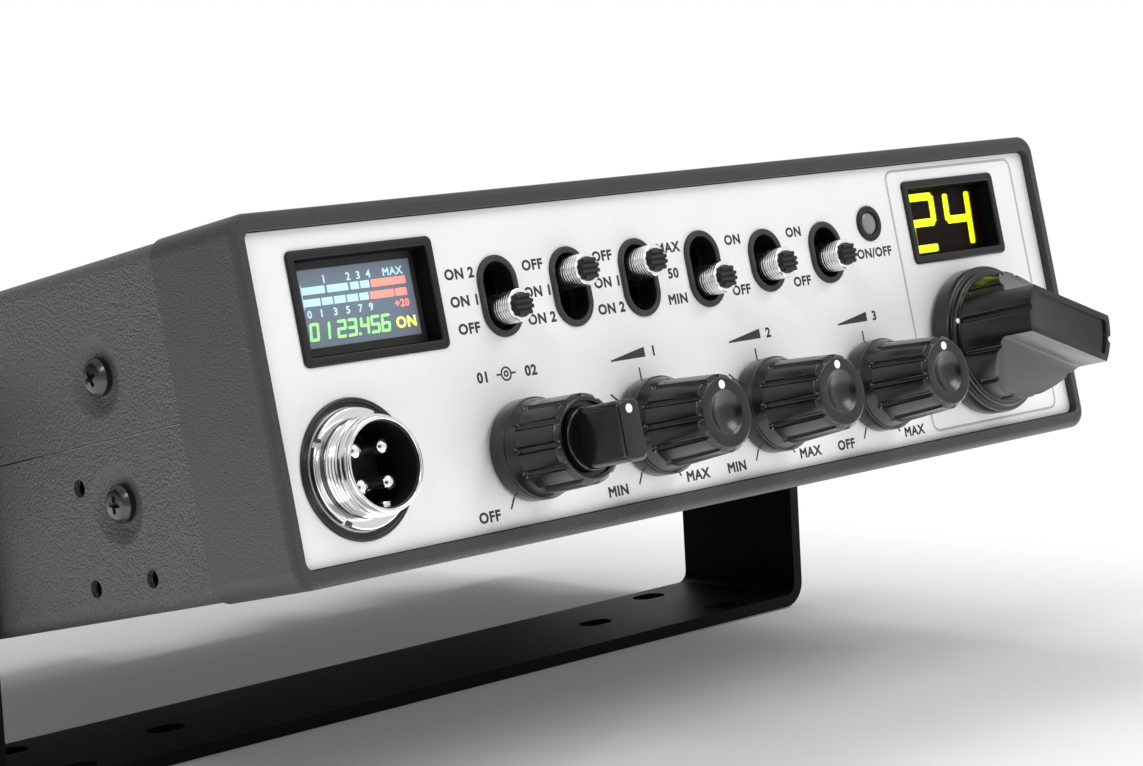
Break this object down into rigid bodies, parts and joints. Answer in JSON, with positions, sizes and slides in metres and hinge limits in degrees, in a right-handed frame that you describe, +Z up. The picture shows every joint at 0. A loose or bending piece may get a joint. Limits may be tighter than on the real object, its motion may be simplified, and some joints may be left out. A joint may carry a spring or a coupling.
{
  "type": "mobile two-way radio",
  "caption": "Low boxy mobile two-way radio on a U-shaped tilting stand, with a silver control panel, display windows, turning knobs, slide switches and a microphone socket.",
  "frame": {"origin": "on the underside of the stand, straight below the tilt axis, midway between the legs", "axes": "+Z up, +X along the tilt axis to the operator's right, the front panel faces -Y and tilts up"},
  "size_m": [0.2286, 0.2126, 0.1004],
  "materials": {
    "stand_paint": "fine-textured black powder coat",
    "case_plastic": "dark grey, finely grained",
    "panel_silver": "fine satin silver",
    "cover_paint": "dark grey wrinkle coat",
    "chassis_zinc": "zinc plated",
    "rear_paint": "black anodised",
    "chrome_plate": "bright chrome",
    "knob_plastic": "dark grey semi-gloss",
    "black_plastic": "black satin",
    "screw_black": "black oxide",
    "window_glass": "smoked clear",
    "lens_plastic": "grey translucent",
    "board_green": "solder resist",
    "plated_brass": "nickel-free brass",
    "white_insulator": "white",
    "cone_paper": "black paper",
    "component_metal": "plain",
    "shaft_steel": "turned",
    "washer_rubber": "black"
  },
  "bodies": {
    "bracket": {"mounting_bracket": "stand_paint"},
    "radio": {"front_bezel": "case_plastic", "front_panel": "panel_silver", "top_cover": "cover_paint", "bottom_cover": "cover_paint", "chassis_frame": "chassis_zinc", "rear_panel": "rear_paint", "machine_screws": "screw_black", "lcd_frame": "black_plastic", "lcd_module": "black_plastic", "channel_window_frame": "black_plastic", "channel_display": "black_plastic", "display_windows": "window_glass", "panel_trims": "black_plastic", "lamp_lens": "lens_plastic", "mic_socket_ring": "black_plastic", "mic_socket_nut": "chrome_plate", "mic_socket_shell": "chrome_plate", "mic_socket_insert": "black_plastic", "mic_socket_pins": "chrome_plate", "rotary_controls": "chassis_zinc", "control_nuts": "plated_brass", "switch_bodies": "black_plastic", "control_board": "board_green", "main_board": "board_green", "board_components": "component_metal", "speaker_basket": "chassis_zinc", "speaker_cone": "cone_paper", "aerial_socket": "chrome_plate", "aerial_insulator": "white_insulator", "power_inlet": "black_plastic", "rear_contacts": "plated_brass", "speaker_jacks": "black_plastic", "pivot_washers": "washer_rubber"},
    "volume": {"volume_knob": "knob_plastic", "volume_shaft": "shaft_steel"},
    "squelch": {"squelch_knob": "knob_plastic", "squelch_shaft": "shaft_steel"},
    "mic_gain": {"mic_gain_knob": "knob_plastic", "mic_gain_shaft": "shaft_steel"},
    "rf_gain": {"rf_gain_knob": "knob_plastic", "rf_gain_shaft": "shaft_steel"},
    "talkback": {"talkback_knob": "knob_plastic", "talkback_shaft": "shaft_steel"},
    "channel": {"channel_knob": "knob_plastic", "channel_shaft": "shaft_steel"},
    "left_thumbscrew": {"thumbscrew_left": "black_plastic"},
    "right_thumbscrew": {"thumbscrew_right": "black_plastic"},
    "switch_1": {"lever_1": "chrome_plate", "lever_tip_1": "black_plastic"},
    "switch_2": {"lever_2": "chrome_plate", "lever_tip_2": "black_plastic"},
    "switch_3": {"lever_3": "chrome_plate", "lever_tip_3": "black_plastic"},
    "switch_4": {"lever_4": "chrome_plate", "lever_tip_4": "black_plastic"},
    "switch_5": {"lever_5": "chrome_plate", "lever_tip_5": "black_plastic"},
    "switch_6": {"lever_6": "chrome_plate", "lever_tip_6": "black_plastic"}
  },
  "joints": [
    {"name": "radio_tilt", "type": "hinge", "parent": "bracket", "child": "radio", "pos_m": [0, 0, 0.0546], "axis": [1, 0, 0], "range_deg": [-6, 24]},
    {"name": "volume_turn", "type": "hinge", "parent": "radio", "child": "volume", "pos_m": [-0.0483, -0.09055, 0.05784], "axis": [0, 0.9816, -0.1908], "range_deg": [-150, 150]},
    {"name": "squelch_turn", "type": "hinge", "parent": "radio", "child": "squelch", "pos_m": [-0.0483, -0.09055, 0.05784], "axis": [0, 0.9816, -0.1908], "range_deg": [-150, 150]},
    {"name": "mic_gain_turn", "type": "hinge", "parent": "radio", "child": "mic_gain", "pos_m": [-0.0186, -0.09055, 0.05784], "axis": [0, 0.9816, -0.1908], "range_deg": [-150, 150]},
    {"name": "rf_gain_turn", "type": "hinge", "parent": "radio", "child": "rf_gain", "pos_m": [0.0111, -0.09055, 0.05784], "axis": [0, 0.9816, -0.1908], "range_deg": [-150, 150]},
    {"name": "talkback_turn", "type": "hinge", "parent": "radio", "child": "talkback", "pos_m": [0.0408, -0.09055, 0.05784], "axis": [0, 0.9816, -0.1908], "range_deg": [-150, 150]},
    {"name": "channel_turn", "type": "hinge", "parent": "radio", "child": "channel", "pos_m": [0.0736, -0.08965, 0.06245], "axis": [0, 0.9816, -0.1908], "continuous": true},
    {"name": "switch_1_slide", "type": "slide", "parent": "radio", "child": "switch_1", "axis": [0, 0.1908, 0.9816], "range_m": [0, 0.0044]},
    {"name": "switch_2_slide", "type": "slide", "parent": "radio", "child": "switch_2", "axis": [0, 0.1908, 0.9816], "range_m": [-0.0044, 0]},
    {"name": "switch_3_slide", "type": "slide", "parent": "radio", "child": "switch_3", "axis": [0, 0.1908, 0.9816], "range_m": [-0.0044, 0]},
    {"name": "switch_4_slide", "type": "slide", "parent": "radio", "child": "switch_4", "axis": [0, 0.1908, 0.9816], "range_m": [0, 0.0044]},
    {"name": "switch_5_slide", "type": "slide", "parent": "radio", "child": "switch_5", "axis": [0, 0.1908, 0.9816], "range_m": [0, 0.0022]},
    {"name": "switch_6_slide", "type": "slide", "parent": "radio", "child": "switch_6", "axis": [0, 0.1908, 0.9816], "range_m": [0, 0.0022]},
    {"name": "left_thumbscrew_turn", "type": "hinge", "parent": "radio", "child": "left_thumbscrew", "pos_m": [-0.1, 0, 0.0546], "axis": [-1, 0, 0], "continuous": true},
    {"name": "right_thumbscrew_turn", "type": "hinge", "parent": "radio", "child": "right_thumbscrew", "pos_m": [0.1, 0, 0.0546], "axis": [1, 0, 0], "continuous": true}
  ]
}
